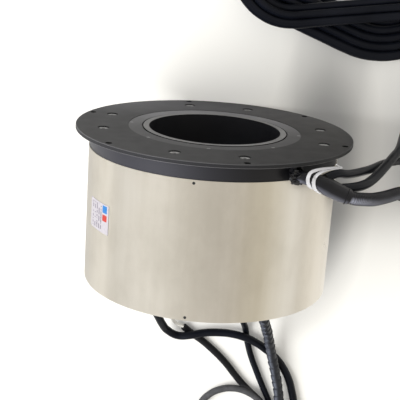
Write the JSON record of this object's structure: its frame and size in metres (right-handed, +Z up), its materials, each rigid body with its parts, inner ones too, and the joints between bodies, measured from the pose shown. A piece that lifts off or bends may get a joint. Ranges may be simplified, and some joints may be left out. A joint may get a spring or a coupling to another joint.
{
  "type": "slip ring",
  "caption": "Through-bore slip ring: round mounting flange, thin steel drum housing, free-turning bored rotor with ring stack, and cable tails on the fixed and turning sides.",
  "frame": {"origin": "centre of the mounting flange's outer face, on the axis of rotation", "axes": "+Y along the axis of rotation, out of the flange face, away from the housing; +Z up as it lies on its side; +X to the right of both"},
  "size_m": [0.5015, 0.7813, 0.28],
  "materials": {
    "black_anodised": "black anodised, fine satin",
    "cover_grey": "dark anodised, satin",
    "bright_steel": "bright screw heads",
    "dark_steel": "blackened",
    "brushed_stainless": "satin brushed, rolled sheet",
    "label_white": "glossy film",
    "bearing_steel": "ground",
    "cage_brass": "machined",
    "seal_rubber": "matt",
    "bar_laminate": "phenolic laminate",
    "brush_carbon": "copper graphite",
    "gold_alloy": "plated",
    "ring_brass": "turned",
    "tube_grey": "dark anodised, bright turned end",
    "spool_resin": "moulded resin",
    "cable_black": "smooth jacket, slight sheen",
    "cable_grey": "dusty jacket",
    "tape_black": "wrapped tape",
    "sleeve_black": "shrink sleeve",
    "tie_white": "nylon",
    "conduit_black": "finely ribbed conduit",
    "lead_white": "wire jackets",
    "wrap_black": "spiral tape wrap"
  },
  "bodies": {
    "housing": {"mounting_flange": "black_anodised", "flange_screws": "bright_steel", "bearing_cover": "cover_grey", "cover_screws": "bright_steel", "upper_end_cap": "black_anodised", "housing_sleeve": "brushed_stainless", "sleeve_screws": "dark_steel", "lower_end_cap": "black_anodised", "lower_bearing_cover": "cover_grey", "lower_cover_screws": "bright_steel", "rating_label": "label_white", "upper_outer_race": "bearing_steel", "lower_outer_race": "bearing_steel", "upper_seal": "seal_rubber", "lower_seal": "seal_rubber", "cap_posts": "bearing_steel", "brush_bars": "bar_laminate", "power_brushes": "brush_carbon", "signal_brushes": "gold_alloy", "cable_gland": "cable_black", "outlet_wrap": "tape_black", "cable_bundle": "sleeve_black", "cable_ties": "tie_white", "conduit_collar": "seal_rubber", "stator_conduit": "conduit_black", "stator_cable_b": "cable_black", "stator_cable_c": "cable_black", "conduit_coil": "conduit_black", "stator_coil_b": "cable_black", "stator_coil_c": "cable_black"},
    "rotor": {"upper_inner_race": "bearing_steel", "lower_inner_race": "bearing_steel", "rotor_tube": "tube_grey", "ring_spool": "spool_resin", "power_rings": "ring_brass", "signal_rings": "gold_alloy", "rotor_end_plate": "tube_grey", "rotor_bushings": "cable_black", "rotor_cable_a": "cable_black", "rotor_leads": "lead_white", "rotor_cable_b": "cable_black", "rotor_cable_c": "cable_black", "rotor_cable_d": "wrap_black", "rotor_coil_a": "cable_black", "rotor_coil_b": "cable_grey", "rotor_coil_c": "cable_black", "rotor_coil_d": "wrap_black"},
    "upper_ball_set": {"upper_balls": "bearing_steel", "upper_cage": "cage_brass"},
    "lower_ball_set": {"lower_balls": "bearing_steel", "lower_cage": "cage_brass"}
  },
  "joints": [
    {"name": "rotor_spin", "type": "hinge", "parent": "housing", "child": "rotor", "pos_m": [0, -0.08, 0], "axis": [0, 1, 0], "continuous": true},
    {"name": "upper_ball_orbit", "type": "hinge", "parent": "housing", "child": "upper_ball_set", "pos_m": [0, -0.01035, 0], "axis": [0, 1, 0], "continuous": true},
    {"name": "lower_ball_orbit", "type": "hinge", "parent": "housing", "child": "lower_ball_set", "pos_m": [0, -0.14755, 0], "axis": [0, 1, 0], "continuous": true}
  ],
  "couplings": [
    {"joint": "upper_ball_orbit", "follows": "rotor_spin", "ratio": 0.4793},
    {"joint": "lower_ball_orbit", "follows": "rotor_spin", "ratio": 0.4793}
  ]
}
